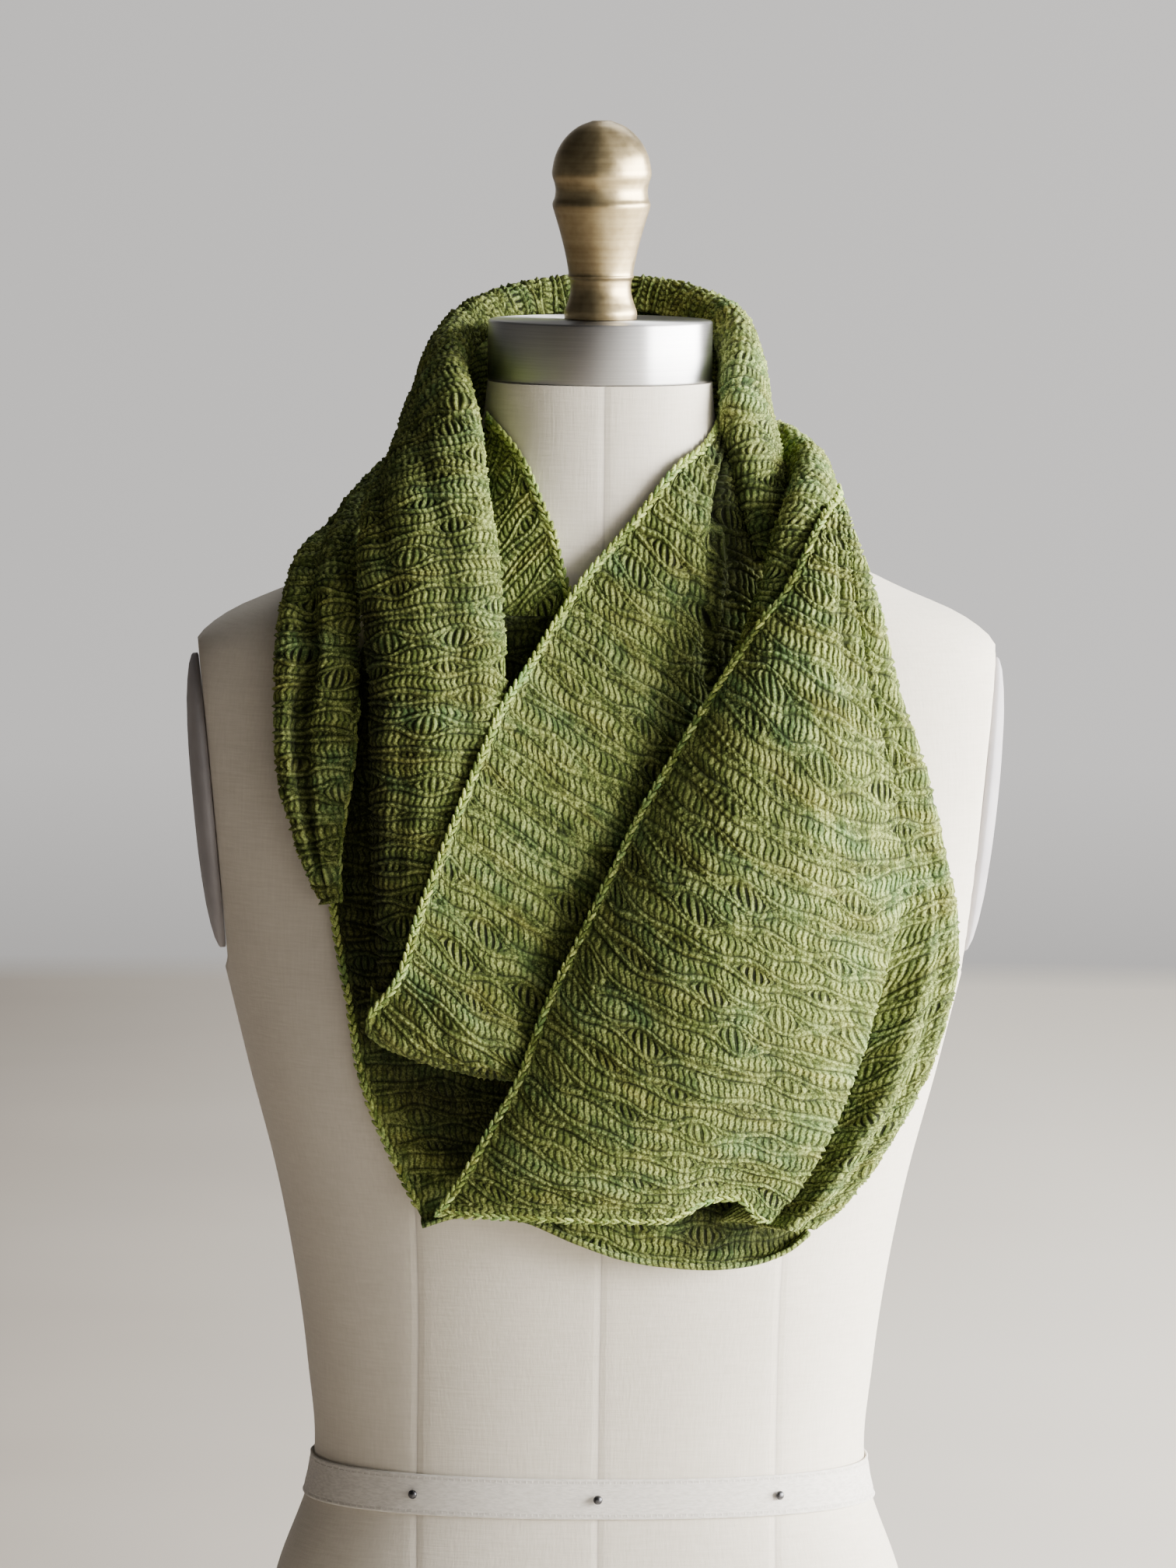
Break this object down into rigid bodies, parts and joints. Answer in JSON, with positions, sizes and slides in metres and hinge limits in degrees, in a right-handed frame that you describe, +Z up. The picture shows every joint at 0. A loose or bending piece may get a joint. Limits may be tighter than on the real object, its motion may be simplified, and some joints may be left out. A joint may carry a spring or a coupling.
{
  "type": "infinity scarf on a limbless dress form",
  "caption": "Knitted loop scarf wound twice round the neck of a limbless dress form, its wide front panels crossing over the chest; it stands on the form's flat base.",
  "frame": {"origin": "the middle of the form's flat base, straight below its neck", "axes": "+Z up, -Y towards the wearer's front, +X towards the right as seen from the front"},
  "size_m": [0.3878, 0.3083, 0.8796],
  "materials": {
    "knit": "matt hand-dyed wool in mixed greens",
    "linen": "matt off-white linen cover",
    "steel": "brushed",
    "wood": "satin gold paint",
    "plate": "matt grey",
    "tape": "matt cotton tape",
    "pin": "dark oxidised"
  },
  "bodies": {
    "root": {"scarf_front_outer": "knit", "scarf_front_inner": "knit", "scarf_left_roll": "knit", "scarf_neck_left": "knit", "scarf_neck_back": "knit", "scarf_right_roll": "knit", "scarf_left_outer": "knit", "scarf_under": "knit", "scarf_back_outer": "knit", "scarf_right_fold": "knit", "form_torso": "linen", "neck_cap": "steel", "finial": "wood", "arm_plate_left": "plate", "arm_plate_right": "plate", "waist_tape": "tape", "pin_left": "pin", "pin_centre": "pin", "pin_right": "pin"}
  },
  "joints": []
}
